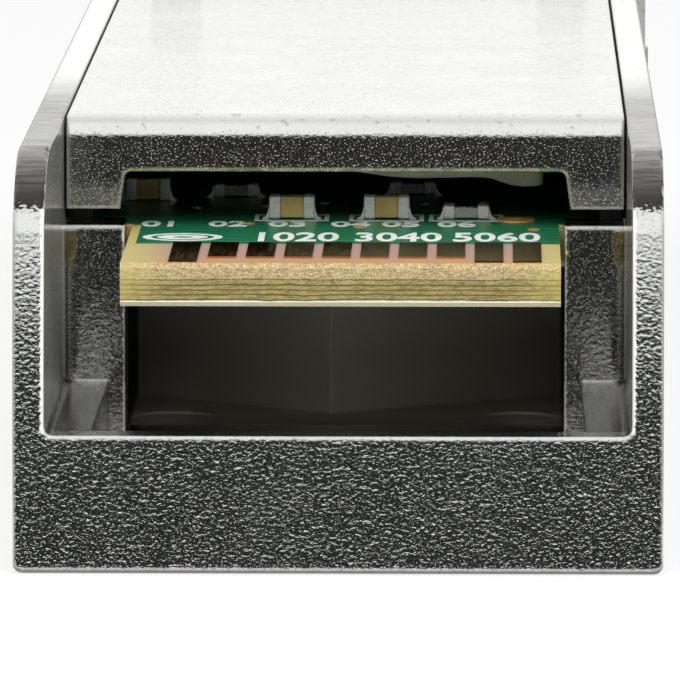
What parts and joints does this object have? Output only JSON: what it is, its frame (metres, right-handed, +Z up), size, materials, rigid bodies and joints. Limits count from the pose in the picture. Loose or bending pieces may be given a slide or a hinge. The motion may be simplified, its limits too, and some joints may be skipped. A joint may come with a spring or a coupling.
{
  "type": "pluggable optical transceiver module",
  "caption": "Small pluggable optical transceiver with a cast metal body, a card-edge connector at the rear, duplex ports at the front and a bail that releases its latch.",
  "frame": {"origin": "centre of the bounding box at its base, on the face that lies down", "axes": "+Y along the module from the card edge to the ports, +Z up, +X to the right seen from the card edge"},
  "size_m": [0.0142, 0.0564, 0.0089],
  "materials": {
    "cast_nickel": "nickel-plated zinc casting with an as-cast grain",
    "pin_steel": "turned steel",
    "laminate": "glass-fibre laminate with a green solder mask",
    "gold": "gold plate",
    "tan_ceramic": "fired ceramic",
    "black_glaze": "black glaze",
    "tin": "tin plate",
    "solder": "bright solder",
    "black_resin": "moulded resin",
    "ferrite": "pressed ferrite",
    "pale_filler": "soft filler",
    "can_steel": "plated steel",
    "amber_film": "polyimide film",
    "clamp_metal": "bead-blasted",
    "white_ceramic": "polished ceramic",
    "black_plastic": "moulded, fine texture",
    "spring_steel": "stamped sheet",
    "slide_metal": "formed metal",
    "bail_metal": "nickel-plated",
    "grip_plastic": "moulded sleeve"
  },
  "bodies": {
    "body": {"lower_housing": "cast_nickel", "top_cover": "cast_nickel", "cover_screws": "pin_steel", "circuit_board": "laminate", "edge_contacts_upper": "gold", "edge_contacts_lower": "gold", "capacitor_bodies": "tan_ceramic", "capacitor_terminals": "tin", "resistor_bodies": "black_glaze", "resistor_terminals": "tin", "solder_joints": "solder", "test_pad": "gold", "controller_chip": "black_resin", "driver_chip": "black_resin", "amplifier_chip": "black_resin", "power_inductor": "ferrite", "thermal_pad": "pale_filler", "transmitter_can": "can_steel", "receiver_can": "can_steel", "transmitter_barrel": "can_steel", "receiver_barrel": "can_steel", "transmitter_flex": "amber_film", "receiver_flex": "amber_film", "optics_clamp": "clamp_metal", "ferrule_sleeves": "white_ceramic", "port_insert": "black_plastic", "emi_collar": "spring_steel"},
    "bail": {"bail_lever": "bail_metal", "bail_shaft": "pin_steel", "bail_grip": "grip_plastic"},
    "slide": {"latch_slide": "slide_metal"}
  },
  "joints": [
    {"name": "bail_swing", "type": "hinge", "parent": "body", "child": "bail", "pos_m": [0, 0.02479, 0.0074], "axis": [1, 0, 0], "range_deg": [0, 90]},
    {"name": "latch_travel", "type": "slide", "parent": "body", "child": "slide", "axis": [0, -1, 0], "range_m": [0, 0.000594]}
  ],
  "couplings": [
    {"joint": "bail_swing", "follows": "latch_travel", "rad_per_m": 2644}
  ]
}
